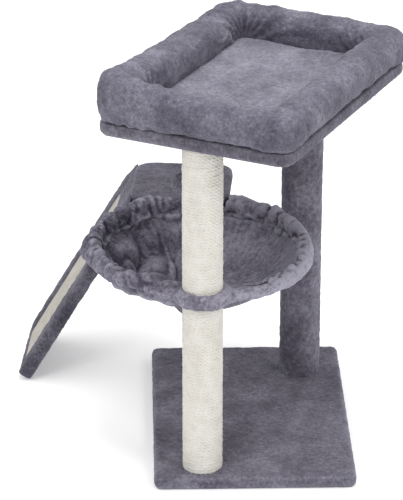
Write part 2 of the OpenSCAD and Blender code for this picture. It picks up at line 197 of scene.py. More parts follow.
def lumps(points, size, seed=0):
    """Smooth noise from -1 to 1 at each point, with lumps about size wide."""
    q = np.asarray(points) / size
    cell = np.floor(q).astype(np.int64)
    f = q - cell
    u = f * f * f * (f * (f * 6 - 15) + 10)
    total = np.zeros(len(q))
    for dx in (0, 1):
        for dy in (0, 1):
            for dz in (0, 1):
                weight = (
                    (u[:, 0] if dx else 1 - u[:, 0])
                    * (u[:, 1] if dy else 1 - u[:, 1])
                    * (u[:, 2] if dz else 1 - u[:, 2])
                )
                total += weight * lattice(cell[:, 0] + dx, cell[:, 1] + dy, cell[:, 2] + dz, seed)
    return total


def smooth_step(x, low, high):
    t = np.clip((x - low) / (high - low), 0, 1)
    return t * t * (3 - 2 * t)


# Mesh work ---------------------------------------------------

PUFF_FRAMES, DRAPE_FRAMES = 20, 30


def mesh_object(name, points, faces):
    mesh = bpy.data.meshes.new(name)
    mesh.from_pydata(np.asarray(points, float).tolist(), [], faces)
    mesh.update()
    obj = bpy.data.objects.new(name, mesh)
    scene.collection.objects.link(obj)
    return obj


def points_of(obj):
    co = np.zeros(len(obj.data.vertices) * 3, np.float32)
    obj.data.vertices.foreach_get("co", co)
    return co.reshape(-1, 3).astype(float)


def set_points(obj, points):
    obj.data.vertices.foreach_set("co", np.asarray(points, np.float32).ravel())
    obj.data.update()


def normals_of(obj):
    n = np.zeros(len(obj.data.vertices) * 3, np.float32)
    obj.data.vertex_normals.foreach_get("vector", n)
    return n.reshape(-1, 3).astype(float)


def push(obj, amount):
    """Moves each point along its normal."""
    set_points(obj, points_of(obj) + normals_of(obj) * np.asarray(amount)[:, None])


def seen_from(points, place):
    """The points in the coordinates of the part that stands at place."""
    turn = np.array(place.inverted())
    return points @ turn[:3, :3].T + turn[:3, 3]


def keep_above(obj, level):
    points = points_of(obj)
    points[:, 2] = np.maximum(points[:, 2], level)
    set_points(obj, points)


def bake_modifiers(obj):
    scene_graph = bpy.context.evaluated_depsgraph_get()
    made = bpy.data.meshes.new_from_object(obj.evaluated_get(scene_graph))
    old = obj.data
    obj.modifiers.clear()
    obj.data = made
    bpy.data.meshes.remove(old)


def remesh(obj, voxel):
    modifier = obj.modifiers.new("remesh", "REMESH")
    modifier.mode = "VOXEL"
    modifier.voxel_size = voxel
    bake_modifiers(obj)


def relax(obj, times):
    modifier = obj.modifiers.new("relax", "SMOOTH")
    modifier.iterations = times
    modifier.factor = 0.5
    bake_modifiers(obj)


def subdivide(obj):
    modifier = obj.modifiers.new("subdivide", "SUBSURF")
    modifier.levels = 1
    modifier.render_levels = 1
    bake_modifiers(obj)


def carve(obj, *cutters):
    """Cuts closed cutter objects out of obj, and removes them."""
    for cutter in cutters:
        modifier = obj.modifiers.new("carve", "BOOLEAN")
        modifier.operation = "DIFFERENCE"
        modifier.solver = "EXACT"
        modifier.object = cutter
        bake_modifiers(obj)
        bpy.data.objects.remove(cutter)


def grid_faces(rows, columns, wrap_rows=False, wrap_columns=False):
    """Quads of a grid whose point in row i and column j has the number i * columns + j."""
    i = np.arange(rows if wrap_rows else rows - 1)
    j = np.arange(columns if wrap_columns else columns - 1)
    i, j = (a.ravel() for a in np.meshgrid(i, j, indexing="ij"))
    i2, j2 = (i + 1) % rows, (j + 1) % columns
    quads = np.stack([i * columns + j, i * columns + j2, i2 * columns + j2, i2 * columns + j], 1)
    return quads.tolist()


def ring_angles(columns, section):
    """Angles round a ring and round its section, for each point of a grid over its skin."""
    turn = np.linspace(0, TAU, columns, endpoint=False)
    around = np.linspace(0, TAU, section, endpoint=False)
    return np.meshgrid(turn, around, indexing="ij")


def rounded_outline(width, length, corner):
    steps = 8
    points = []
    for sx, sy, start in ((1, 1, 0), (-1, 1, 90), (-1, -1, 180), (1, -1, 270)):
        for i in range(steps + 1):
            a = math.radians(start + 90 * i / steps)
            x = sx * (width / 2 - corner) + corner * math.cos(a)
            y = sy * (length / 2 - corner) + corner * math.sin(a)
            points.append((x, y))
    return points


def prism(name, outline, bottom, top, edge=0.0):
    """An upright prism over an outline that runs anticlockwise, with its rims rounded."""
    bm = bmesh.new()
    low = [bm.verts.new((x, y, bottom)) for x, y in outline]
    high = [bm.verts.new((x, y, top)) for x, y in outline]
    bm.faces.new(high)
    bm.faces.new(low[::-1])
    for i in range(len(outline)):
        k = (i + 1) % len(outline)
        bm.faces.new((low[i], low[k], high[k], high[i]))
    bm.normal_update()
    if edge:
        sharp = [e for e in bm.edges if e.calc_face_angle(0) > math.radians(25)]
        bmesh.ops.bevel(bm, geom=sharp, offset=edge, segments=4, profile=0.5, affect="EDGES")
    obj = mesh_object(name, np.zeros((0, 3)), [])
    bm.to_mesh(obj.data)
    bm.free()
    return obj


def sleeve(name, z, radius, inner_r, centre):
    """A closed sleeve about a vertical axis. radius has a row for each height in z, and
    inner_r is the radius of its bore."""
    rows, columns = radius.shape
    turn = np.linspace(0, TAU, columns, endpoint=False)
    skin = np.stack(
        [radius * np.cos(turn), radius * np.sin(turn), np.repeat(z[:, None], columns, 1)], 2
    ).reshape(-1, 3)
    ends = [
        np.stack([inner_r * np.cos(turn), inner_r * np.sin(turn), np.full(columns, level)], 1)
        for level in (z[-1], z[0])
    ]
    points = np.concatenate([skin, *ends]) + np.array([centre.x, centre.y, 0])
    return mesh_object(name, points, grid_faces(rows + 2, columns, True, True))


def pile(obj, depth, seed, keep=None, broad=1.1):
    """Clumps of plush pile: fine, middling and broad lumps along the normals. keep gives the
    share of them that each point gets."""
    points = points_of(obj)
    amount = depth * (
        1.0 * lumps(points, 0.0045, seed)
        + 0.9 * lumps(points, 0.011, seed + 1)
        + broad * lumps(points, 0.034, seed + 2)
    )
    if keep is not None:
        amount *= keep(points)
    push(obj, amount)


def simulate(obj, modifier, frames):
    """Runs a cloth simulation from the first frame and keeps its result as the mesh."""
    modifier.collision_settings.use_collision = False
    modifier.point_cache.frame_start = 1
    modifier.point_cache.frame_end = frames
    for step in range(1, frames + 1):
        scene.frame_set(step)
    bake_modifiers(obj)
    scene.frame_set(1)


def puff(obj, pressure, cap, growth=0.0):
    """Inflates a closed soft piece with a cloth simulation. No point moves more than cap."""
    before = points_of(obj)
    modifier = obj.modifiers.new("puff", "CLOTH")
    cloth = modifier.settings
    cloth.quality = 5
    cloth.mass = 0.3
    cloth.tension_stiffness = 12
    cloth.compression_stiffness = 12
    cloth.bending_stiffness = 0.6
    cloth.use_pressure = True
    cloth.uniform_pressure_force = pressure
    cloth.shrink_min = -growth
    cloth.effector_weights.gravity = 0
    simulate(obj, modifier, PUFF_FRAMES)
    move = points_of(obj) - before
    length = np.linalg.norm(move, axis=1)
    share = np.minimum(1, cap / np.maximum(length, 1e-9))
    set_points(obj, before + move * share[:, None])


def finish_piece(obj, material, body, slot, *replaced):
    """Gives a piece its look and its body, and hides the CAD nodes that it stands for. slot is not
    used.
    """
    obj.data.materials.clear()
    obj.data.materials.append(material)
    for polygon in obj.data.polygons:
        polygon.use_smooth = True
    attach(obj, body)
    if replaced:
        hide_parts(*replaced)
    return obj


# Materials ---------------------------------------------------


class Nodes:
    """A new material with short calls for its nodes."""

    def __init__(self, name):
        self.material = bpy.data.materials.new(name)
        self.material.use_nodes = True
        self.tree = self.material.node_tree
        self.shader = self.tree.nodes["Principled BSDF"]
        self.coords = self.tree.nodes.new("ShaderNodeTexCoord").outputs["Object"]

    def set(self, **values):
        for name, value in values.items():
            self.shader.inputs[name.replace("_", " ")].default_value = value

    def link(self, a, b):
        self.tree.links.new(a, b)

    def stretched(self, scale, turn=(0, 0, 0)):
        node = self.tree.nodes.new("ShaderNodeMapping")
        node.inputs["Scale"].default_value = scale
        node.inputs["Rotation"].default_value = turn
        self.link(self.coords, node.inputs["Vector"])
        return node.outputs["Vector"]

    def noise(self, scale, detail=2.0, roughness=0.5, vector=None):
        node = self.tree.nodes.new("ShaderNodeTexNoise")
        node.inputs["Scale"].default_value = scale
        node.inputs["Detail"].default_value = detail
        node.inputs["Roughness"].default_value = roughness
        self.link(vector or self.coords, node.inputs["Vector"])
        return node.outputs["Fac"]

    def cells(self, scale):
        node = self.tree.nodes.new("ShaderNodeTexVoronoi")
        node.inputs["Scale"].default_value = scale
        self.link(self.coords, node.inputs["Vector"])
        return node.outputs["Distance"]

    def valleys(self, level):
        """How far each spot bulges beyond level: negative in the valleys of the mesh."""
        node = self.tree.nodes.new("ShaderNodeNewGeometry")
        return self.math("SUBTRACT", node.outputs["Pointiness"], level)

    def math(self, kind, a, b):
        node = self.tree.nodes.new("ShaderNodeMath")
        node.operation = kind
        for socket, value in zip(node.inputs, (a, b)):
            if isinstance(value, (int, float)):
                socket.default_value = value
            else:
                self.link(value, socket)
        return node.outputs[0]

    def weighted(self, *parts):
        """The sum of factor times weight over the parts."""
        total = self.math("MULTIPLY", *parts[0])
        for part in parts[1:]:
            total = self.math("ADD", total, self.math("MULTIPLY", *part))
        return total

    def ramp(self, factor, *stops):
        node = self.tree.nodes.new("ShaderNodeValToRGB")
        elements = node.color_ramp.elements
        while len(elements) < len(stops):
            elements.new(0.5)
        for element, (place, colour) in zip(elements, stops):
            element.position = place
            element.color = (*colour, 1)
        self.link(factor, node.inputs["Fac"])
        return node.outputs["Color"]

    def colour(self, output):
        self.link(output, self.shader.inputs["Base Color"])

    def bump(self, height, strength, distance):
        node = self.tree.nodes.new("ShaderNodeBump")
        node.inputs["Strength"].default_value = strength
        node.inputs["Distance"].default_value = distance
        self.link(height, node.inputs["Height"])
        self.link(node.outputs["Normal"], self.shader.inputs["Normal"])


def plush_material(name, dark, mid, light, painted_light_gradient=None, crease_shade=2.4):
    """Short dense pile: nap patches, clumps and fine speckle, with a soft sheen. With
    brushed = (axis, from, gain), the colour grows paler along that axis, as painted light and
    shade. crease sets the painted shade that darkens the valleys of the mesh."""
    n = Nodes(name)
    patches = n.noise(17, 3, 0.55)
    clumps = n.noise(95, 3, 0.6)
    tufts = n.noise(230, 2, 0.6)
    speckle = n.noise(520, 2, 0.6)
    parts = [(patches, 0.38), (clumps, 0.24), (tufts, 0.22), (speckle, 0.22)]
    # Painted shade: the valleys of the mesh are darkened in the colour, where shade would fall.
    parts.append((n.valleys(0.5), crease_shade))
    # Painted light and shade: the colour grows paler along one axis, where more light reaches.
    if painted_light_gradient:
        split = n.tree.nodes.new("ShaderNodeSeparateXYZ")
        n.link(n.coords, split.inputs["Vector"])
        axis, start, gain = painted_light_gradient
        parts.append((n.math("SUBTRACT", split.outputs[axis], start), gain))
    n.colour(n.ramp(n.weighted(*parts), (0.41, dark), (0.54, mid), (0.67, light)))
    n.set(Roughness=0.95, Sheen_Weight=0.2, Sheen_Roughness=0.45, Sheen_Tint=(0.85, 0.85, 0.95, 1))
    n.set(Specular_IOR_Level=0.1)
    n.bump(n.weighted((speckle, 0.35), (tufts, 0.6), (clumps, 0.5)), 0.9, 0.004)
    return n.material


def sisal_material(name):
    """Twisted off-white sisal: pale fibres that run round the post, with painted shade in its
    valleys.
    """
    n = Nodes(name)
    fibres = n.noise(1, 3, 0.6, n.stretched((260, 260, 1500)))
    stain = n.noise(45, 2, 0.5)
    # Painted shade: the valleys of the mesh are darkened in the colour.
    tone = n.weighted((fibres, 0.5), (stain, 0.25), (n.valleys(0.37), 1.2))
    dark, mid, light = (0.38, 0.355, 0.30), (0.62, 0.60, 0.555), (0.75, 0.73, 0.69)
    n.colour(n.ramp(tone, (0.28, dark), (0.52, mid), (0.75, light)))
    n.set(Roughness=0.85, Specular_IOR_Level=0.25)
    n.bump(fibres, 0.5, 0.0008)
    return n.material


def mat_material(name):
    """Woven sisal: fibres that run across the ramp, and faint stains."""
    n = Nodes(name)
    fibres = n.noise(1, 3, 0.6, n.stretched((500, 1200, 500)))
    stain = n.noise(60, 2, 0.5)
    tone = n.weighted((fibres, 0.6), (stain, 0.35))
    dark, mid, light = (0.32, 0.29, 0.25), (0.46, 0.44, 0.40), (0.60, 0.575, 0.535)
    n.colour(n.ramp(tone, (0.3, dark), (0.5, mid), (0.7, light)))
    n.set(Roughness=0.9, Specular_IOR_Level=0.2)
    n.bump(fibres, 0.5, 0.0008)
    return n.material


def board_material(name):
    """Raw particle board: pressed chips and dust."""
    n = Nodes(name)
    tone = n.weighted((n.cells(260), 0.7), (n.noise(700, 2), 0.5))
    dark, mid, light = (0.25, 0.16, 0.09), (0.42, 0.29, 0.17), (0.58, 0.43, 0.27)
    n.colour(n.ramp(tone, (0.2, dark), (0.5, mid), (0.8, light)))
    n.set(Roughness=0.85)
    n.bump(tone, 0.3, 0.0005)
    return n.material


def liner_material(name):
    """Non-woven felt: pressed dots and loose fibres."""
    n = Nodes(name)
    tone = n.weighted((n.cells(520), 0.6), (n.noise(300, 4, 0.7), 0.5))
    n.colour(n.ramp(tone, (0.25, (0.012, 0.012, 0.014)), (0.7, (0.05, 0.05, 0.055))))
    n.set(Roughness=0.9, Specular_IOR_Level=0.2)
    n.bump(tone, 0.4, 0.0005)
    return n.material


def cardboard_material(name):
    """A spiral-wound tube: pale seams on brown paper."""
    n = Nodes(name)
    band = n.noise(1, 2, 0.5, n.stretched((3, 3, 45), (0.5, 0, 0)))
    tone = n.weighted((band, 0.5), (n.noise(350, 3, 0.6), 0.4))
    n.colour(n.ramp(tone, (0.3, (0.25, 0.16, 0.09)), (0.6, (0.42, 0.29, 0.18))))
    n.set(Roughness=0.85)
    return n.material


def metal_material(name, colour, roughness):
    """Plated steel with slight mottling in its gloss."""
    n = Nodes(name)
    mottle = n.noise(180, 3, 0.6)
    dull = tuple(c * 0.72 for c in colour)
    n.colour(n.ramp(mottle, (0.3, dull), (0.7, colour)))
    n.set(Metallic=1.0)
    rough = n.weighted((mottle, 0.25), (n.noise(900, 1), 0.1))
    n.link(n.math("ADD", rough, roughness - 0.15), n.shader.inputs["Roughness"])
    return n.material


def coated_material(name, colour, roughness):
    """Moulded plastic or powder coat: even colour with an orange-peel grain."""
    n = Nodes(name)
    grain = n.noise(900, 2, 0.5)
    n.colour(n.ramp(n.noise(60, 2), (0.3, tuple(c * 0.85 for c in colour)), (0.7, colour)))
    n.set(Roughness=roughness)
    n.bump(grain, 0.25, 0.0003)
    return n.material


def tape_material(name, colour, scale):
    """Hook-and-loop tape: a woven ground with tiny hooks."""
    n = Nodes(name)
    weave = n.cells(scale)
    lit = tuple(min(1, c * 2.2) for c in colour)
    n.colour(n.ramp(weave, (0.1, lit), (0.6, colour)))
    n.set(Roughness=0.9)
    n.bump(weave, 0.6, 0.0006)
    return n.material


def string_material(name):
    """Cotton cord: fine pale fibres along it."""
    n = Nodes(name)
    fibres = n.noise(1, 3, 0.6, n.stretched((2500, 2500, 900)))
    n.colour(n.ramp(fibres, (0.3, (0.45, 0.43, 0.40)), (0.7, (0.75, 0.73, 0.69))))
    n.set(Roughness=0.9)
    n.bump(fibres, 0.4, 0.0003)
    return n.material


plush = plush_material("plush", (0.062, 0.057, 0.078), (0.138, 0.129, 0.167), (0.250, 0.238, 0.292))
# Painted light: a paler copy of the plush for the basket, paler still towards the right, with
# deeper painted shade in its valleys.
lit_basket_plush = plush_material(
    "lit_basket_plush",
    (0.060, 0.054, 0.081),
    (0.168, 0.157, 0.203),
    (0.330, 0.316, 0.385),
    painted_light_gradient=("X", FRONT.x - 0.03, 0.45),
    crease_shade=2.6,
)
# Painted shade: a darker copy of the plush for the bolster, painted paler towards its top as light
# from above, with little painted shade in its valleys.
shaded_bed_plush = plush_material(
    "shaded_bed_plush",
    (0.066, 0.061, 0.085),
    (0.130, 0.122, 0.160),
    (0.240, 0.229, 0.282),
    painted_light_gradient=("Z", BED_Z + 0.045, 0.15),
    crease_shade=0.9,
)
# Painted shade: a darker copy of the plush for the shelf and perch panels.
shaded_panel_plush = plush_material(
    "shaded_panel_plush", (0.052, 0.048, 0.064), (0.112, 0.105, 0.134), (0.205, 0.196, 0.236)
)
# Painted light: a paler copy of the plush for the bed's pad, which light from above reaches.
lit_pad_plush = plush_material(
    "lit_pad_plush", (0.108, 0.101, 0.131), (0.190, 0.180, 0.227), (0.305, 0.292, 0.350)
)
# Painted shade: a much darker copy of the plush for the ramp, whose side lies in shade.
shaded_ramp_plush = plush_material(
    "shaded_ramp_plush", (0.040, 0.037, 0.050), (0.082, 0.077, 0.100), (0.150, 0.143, 0.175)
)
sisal = sisal_material("sisal")
sisal_mat = mat_material("sisal_mat")
string = string_material("string")
zinc = metal_material("zinc", (0.72, 0.73, 0.75), 0.38)

# Panels: plush round a board, with a turned hem and a liner underneath ---

PANEL_VOXEL = 0.0042
PANEL_PILE = 0.00045
PUFF = 0.001
LINER_CORNER = 0.006
PRESSED_BORDER = 0.010, 0.022


def plush_panel(name, width, length, corner, base_z, edge, place):
    """The plush cover of a panel, with room for its board and its liner cut out."""
    top = base_z + PANEL_T + PUFF
    outline = rounded_outline(width + 2 * PUFF, length + 2 * PUFF, corner + PUFF)
    cover = prism(name, outline, base_z, top, edge)
    remesh(cover, PANEL_VOXEL)
    relax(cover, 2)
    subdivide(cover)
    cover.data.transform(place)
    pile(cover, PANEL_PILE, 3, lambda p: smooth_step(p[:, 2], base_z, base_z + 0.004), 0.3)
    flat = points_of(cover)
    flat[flat[:, 2] < base_z + 0.0012, 2] = base_z
    set_points(cover, flat)
    board = rounded_outline(width - 2 * PILE, length - 2 * PILE, max(corner - PILE, 0.004))
    liner = rounded_outline(width - 2 * HEM_W, length - 2 * HEM_W, LINER_CORNER)
    inner = prism("cut_board", board, base_z + HEM_T, base_z + HEM_T + BOARD_T)
    under = prism("cut_liner", liner, base_z - HEM_T, base_z + 2 * HEM_T)
    inner.data.transform(place)
    under.data.transform(place)
    carve(cover, inner, under)
    return cover


def make_panels():
    base = plush_panel("base_plush", BASE_W, BASE_L, BASE_CORNER, 0.0, 0.0045, Matrix.Identity(4))
    finish_piece(base, plush, "stand", "plush", "base_cover")
    shelf = plush_panel("shelf_plush", SHELF_W, SHELF_L, SHELF_CORNER, SHELF_Z, 0.006, SHELF_PLACE)
    finish_piece(shelf, shaded_panel_plush, "stand", "plush", "shelf_cover")
    perch = plush_panel("perch_plush", PERCH_L, PERCH_W, PERCH_CORNER, PERCH_Z, 0.005, PERCH_PLACE)
    press_under_bed(perch)
    finish_piece(perch, shaded_panel_plush, "stand", "plush", "perch_cover")


def press_under_bed(obj):
    """The bed's weight flattens the pile, down to the strips that hold the bed."""
    points = points_of(obj)
    local = seen_from(points, PERCH_PLACE)
    inside_x = smooth_step(PERCH_L / 2 - np.abs(local[:, 0]), *PRESSED_BORDER)
    inside_y = smooth_step(PERCH_W / 2 - np.abs(local[:, 1]), *PRESSED_BORDER)
    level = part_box("bed_hook_strips")[0].z + 0.0001
    excess = np.maximum(points[:, 2] - level, 0)
    points[:, 2] -= excess * inside_x * inside_y
    set_points(obj, points)


# Posts -------------------------------------------------------

ROPE_PITCH = 0.0056
ROPE_DEPTH = 0.0013
STRAND_PITCH = 0.0085
STRAND_DEPTH = 0.0009
ROWS_PER_TURN = 6
ROPE_COLUMNS = 200


def wound_post(name, node):
    """One rope wound up a tube: a helical ridge, crossed by the slant of its strands."""
    low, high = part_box(node)
    centre = middle(node)
    rows = int((high.z - low.z) / ROPE_PITCH * ROWS_PER_TURN)
    z = np.linspace(low.z, high.z, rows)
    turn = np.linspace(0, 1, ROPE_COLUMNS, endpoint=False)
    level, around = np.meshgrid(z - low.z, turn, indexing="ij")
    phase = level / ROPE_PITCH - around
    across = 2 * (phase - np.floor(phase)) - 1
    ridge = np.sqrt(np.maximum(0, 1 - across**2 * 0.92))
    along = (around + np.floor(phase)) * TAU * SISAL_R
    strand = np.abs(np.sin(math.pi * (along / STRAND_PITCH + across * 0.5)))
    radius = SISAL_R - ROPE_DEPTH * (1 - ridge) - STRAND_DEPTH * (1 - strand)
    unrolled = np.stack([along.ravel(), level.ravel(), 0 * level.ravel()], 1)
    wander = lumps(unrolled, 0.02, 5)
    knots = lumps(unrolled * [1, 1.4, 1], 0.007, 6)
    radius += (0.00035 * wander + 0.0004 * knots).reshape(radius.shape)
    post = sleeve(name, z, radius, SISAL_TUBE_R, centre)
    finish_piece(post, sisal, "stand", "sisal", node)


def plush_post():
    """A plush sleeve round a tube, with the seam of its cloth at the back."""
    low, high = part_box("rear_right_plush")
    z = np.linspace(low.z, high.z, 230)
    turn = np.linspace(0, TAU, 96, endpoint=False)
    level, around = np.meshgrid(z, turn, indexing="ij")
    skin = np.stack([PLUSH_POST_R * np.cos(around), PLUSH_POST_R * np.sin(around), level], 2)
    skin = skin.reshape(-1, 3)
    radius = np.full(level.shape, PLUSH_POST_R - 0.0004)
    for depth, size, seed in ((0.0006, 0.005, 11), (0.0006, 0.012, 12), (0.0003, 0.04, 13)):
        radius += depth * lumps(skin, size, seed).reshape(level.shape)
    seam = np.abs(np.angle(np.exp(1j * (around - math.radians(75)))))
    radius -= 0.0022 * np.exp(-((seam * PLUSH_POST_R / 0.0022) ** 2))
    post = sleeve("rear_right_plush_cover", z, radius, PLUSH_TUBE_R, REAR_RIGHT)
    finish_piece(post, plush, "stand", "plush", "rear_right_plush")


# Ramp --------------------------------------------------------

UPRIGHT = Matrix.Rotation(math.radians(90), 4, "X")
RAMP_EDGE = 0.0035
RAMP_LAP = 0.005
BORDER_FILL = 0.0045
SLACK = 0.0035
RIB_PITCH, YARN_PITCH = 0.0052, 0.0062


def ramp_outline(inset, lap):
    """The slab's long section: x down the slope, y into the board, mitred at the shelf. Its
    mitred end is moved out by lap."""
    near, far = inset, RAMP_T - inset
    lean = math.tan(RAMP_SLOPE)
    end = RAMP_LEN - inset
    tip = max(near, RAMP_TIP)
    start = tip * lean + 0.6 * (tip - near) - lap
    ring = [(start, near), (end, near), (end, far), (far * lean - lap, far)]
    if near < tip:
        ring.append((tip * lean - lap, tip))
    return ring


def ramp_prism(name, inset, width, edge=0.0, lap=0.0):
    """A slab over the ramp's long section, lying along x with its face at z = 0."""
    obj = prism(name, ramp_outline(inset, lap), -width / 2, width / 2, edge)
    obj.data.transform(UPRIGHT)
    return obj


def make_ramp():
    """The ramp's cover, cut to take its board and mat, and lying close to the shelf."""
    cover = ramp_prism("shaded_ramp_plush", 0, RAMP_W + 2 * PUFF, RAMP_EDGE, RAMP_LAP)
    remesh(cover, PANEL_VOXEL)
    relax(cover, 2)
    subdivide(cover)
    pile(cover, 0.0006, 21, None, 0.3)
    pad_ramp(cover)
    inner = ramp_prism("cut_board", RAMP_PILE, RAMP_W - 2 * PILE)
    end, half = MAT_START + MAT_L, MAT_W / 2
    window = [(MAT_START, -half), (end, -half), (end, half), (MAT_START, half)]
    mat_room = prism("cut_mat", window, -0.01, RAMP_PILE + 0.001)
    carve(cover, inner, mat_room)
    across = np.abs(points_of(cover)[:, 1])
    cover.data.transform(RAMP_PLACE)
    beyond = np.clip((across - SHELF_L / 2 + SHELF_CORNER) / SHELF_CORNER, 0, 1)
    placed = points_of(cover)
    placed[:, 2] = np.clip(placed[:, 2], 0, RAMP_TOP_Z + PUFF - 0.005 * beyond**2)
    set_points(cover, placed)
    finish_piece(cover, shaded_ramp_plush, "stand", "plush", "ramp_cover")
    make_ramp_mat()


def pad_ramp(obj):
    """Spare plush: a full border on the far side, and a slack underside."""
    points = points_of(obj)
    border = smooth_step(points[:, 1], MAT_W / 2, MAT_W / 2 + 0.012)
    border *= smooth_step(points[:, 0], 0.01, 0.05)
    border *= smooth_step(RAMP_LEN - points[:, 0], 0, 0.035)
    above = 1 - smooth_step(points[:, 2], 0.0, 0.006)
    below = smooth_step(points[:, 2], RAMP_T - 0.006, RAMP_T)
    points[:, 2] += SLACK * below - BORDER_FILL * border * above
    set_points(obj, points)


def make_ramp_mat():
    """Woven sisal: ribs across the ramp, each crossed by its twisted yarn."""
    across, down = 72, 400
    x = np.linspace(MAT_START, MAT_START + MAT_L, down)
    y = np.linspace(-MAT_W / 2, MAT_W / 2, across)
    px, py = np.meshgrid(x, y, indexing="ij")
    rib = np.abs(np.sin(math.pi * px / RIB_PITCH))
    yarn = np.abs(np.sin(math.pi * (py / YARN_PITCH + np.floor(px / RIB_PITCH) * 0.5)))
    flat = np.stack([px.ravel(), py.ravel(), 0 * px.ravel()], 1)
    drift = lumps(flat, 0.03, 31).reshape(px.shape)
    face = 0.0012 - 0.0007 * rib - 0.0004 * yarn + 0.0004 * drift
    top = np.stack([px, py, face], 2).reshape(-1, 3)
    base = np.stack([px, py, np.full(px.shape, RAMP_PILE)], 2).reshape(-1, 3)
    faces = [f[::-1] for f in grid_faces(down, across)]
    count = down * across
    faces += [[v + count for v in f] for f in grid_faces(down, across)]
    grid = np.arange(count).reshape(down, across)
    sides = grid[:, 0], grid[-1, 1:], grid[-2::-1, -1], grid[0, -2:0:-1]
    rim = np.concatenate(sides).tolist()
    for a, b in zip(rim, rim[1:] + rim[:1]):
        faces.append([a, b, b + count, a + count])
    mat = mesh_object("ramp_mat", np.concatenate([top, base]), faces)
    mat.data.transform(RAMP_PLACE)
    bm = bmesh.new()
    bm.from_mesh(mat.data)
    bmesh.ops.recalc_face_normals(bm, faces=bm.faces)
    bm.to_mesh(mat.data)
    bm.free()
    finish_piece(mat, sisal_mat, "stand", "sisal_mat", "ramp_sisal_mat")


# Bed ---------------------------------------------------------

BED_VOXEL = 0.005
BOLSTER_LOW = 0.0615
LEFT_RISE = 0.0345
BACK_RISE = 0.007
FOLD_DENSITY = 8.5
FOLD_REACH = 0.085

def mitred_ring(half_x, half_y, corner, inset, straight, arc):
    """Points round a rounded rectangle moved in by inset, with mitred corners past its radius.
    straight has the points along a short and a long side, and arc those round a corner."""
    radius = max(corner - inset, 0.0)
    step = max(corner, inset)
    ring = []
    sides = (
        ((half_x - inset, -(half_y - step)), (half_x - inset, half_y - step), 0),
        ((half_x - step, half_y - inset), (-(half_x - step), half_y - inset), 90),
        ((-(half_x - inset), half_y - step), (-(half_x - inset), -(half_y - step)), 180),
        ((-(half_x - step), -(half_y - inset)), (half_x - step, -(half_y - inset)), 270),
    )
    for number, (a, b, heading) in enumerate(sides):
        count = straight[number % 2]
        for i in range(count):
            t = i / count
            ring.append((a[0] + (b[0] - a[0]) * t, a[1] + (b[1] - a[1]) * t))
        turn = math.radians(heading)
        cx = b[0] - radius * math.cos(turn)
        cy = b[1] - radius * math.sin(turn)
        for i in range(arc):
            angle = turn + math.radians(90) * i / arc
            ring.append((cx + radius * math.cos(angle), cy + radius * math.sin(angle)))
    return ring


def bolster_folds(local, strength):
    """Folds that fan out from the foot of each inner corner. strength has a depth for each
    corner, named by the signs of its x and y."""
    inner_x, inner_y = PERCH_L / 2 - BOLSTER_W, PERCH_W / 2 - BOLSTER_W
    total = np.zeros(len(local))
    for (sx, sy), power in strength.items():
        foot = np.array([sx * inner_x, sy * inner_y, BED_Z + PAD_T * 0.6])
        away = local - foot
        reach = np.linalg.norm(away, axis=1)
        past_x, past_y = sx * away[:, 0], sy * away[:, 1]
        along_x = past_y > past_x
        edge = np.where(along_x, -past_x, -past_y)
        angle = np.arccos(np.clip(edge / np.maximum(reach, 1e-6), -1, 1))
        wobble = lumps(local, 0.035, 41) * 0.35 + lumps(local, 0.015, 42) * 0.12
        wave = 1 - 2 * np.abs(np.sin(angle * FOLD_DENSITY + wobble * 4)) ** 1.2
        fade = np.exp(-((reach / FOLD_REACH) ** 2)) * smooth_step(reach, 0.004, 0.035)
        total += power * wave * fade
    return total


def bolster_height(x, y):
    """The stuffing stands highest at the left corner and falls along both sides from it."""
    near_left = np.clip(0.5 - x / PERCH_L, 0, 1)
    near_back = np.clip(0.5 + y / PERCH_W, 0, 1)
    back = BACK_RISE * (1 - near_left) * near_back
    return BOLSTER_LOW + LEFT_RISE * near_left**2 * near_back**4 + back


def bolster_section():
    """Points of the section: inset from the outer face and share of the height. It is round
    above its middle and nearly square below."""
    half_w = BOLSTER_W / 2
    points = []
    for a in np.arange(28) * TAU / 28:
        c, s = math.cos(a), math.sin(a)
        power = 2.3 if s > 0 else 6.0
        inset = half_w - half_w * math.copysign(abs(c) ** (2 / power), c)
        share = 0.5 + 0.5 * math.copysign(abs(s) ** (2 / power), s)
        points.append((inset, share))
    return points


def make_bolster():
    """A stuffed tube round the perch: full outside, round on top, mitred and gathered at its
    inner corners."""
    half_x, half_y = PERCH_L / 2 + BOLSTER_OUT, PERCH_W / 2 + BOLSTER_OUT
    rings = []
    for inset, share in bolster_section():
        ring = np.array(mitred_ring(half_x, half_y, BOLSTER_CORNER, inset, (44, 64), 10))
        z = BED_Z + share * bolster_height(ring[:, 0], ring[:, 1])
        rings.append(np.column_stack([ring, z]))
    columns = len(rings[0])
    obj = mesh_object("bolster", np.concatenate(rings), grid_faces(len(rings), columns, True, True))
    remesh(obj, BED_VOXEL)
    relax(obj, 3)
    puff(obj, 4, 0.003, growth=0.02)
    subdivide(obj)
    local = points_of(obj)
    corners = {(-1, 1): 0.0034, (1, 1): 0.0036, (-1, -1): 0.0014, (1, -1): 0.0012}
    uneven = 0.0024 * lumps(local, 0.075, 51) + 0.0012 * lumps(local, 0.03, 52)
    push(obj, bolster_folds(local, corners) + uneven)
    pile(obj, 0.0008, 55)
    keep_above(obj, BED_Z)
    obj.data.transform(PERCH_PLACE)
    finish_piece(obj, shaded_bed_plush, "bed", "plush_bed", "bed_bolster")


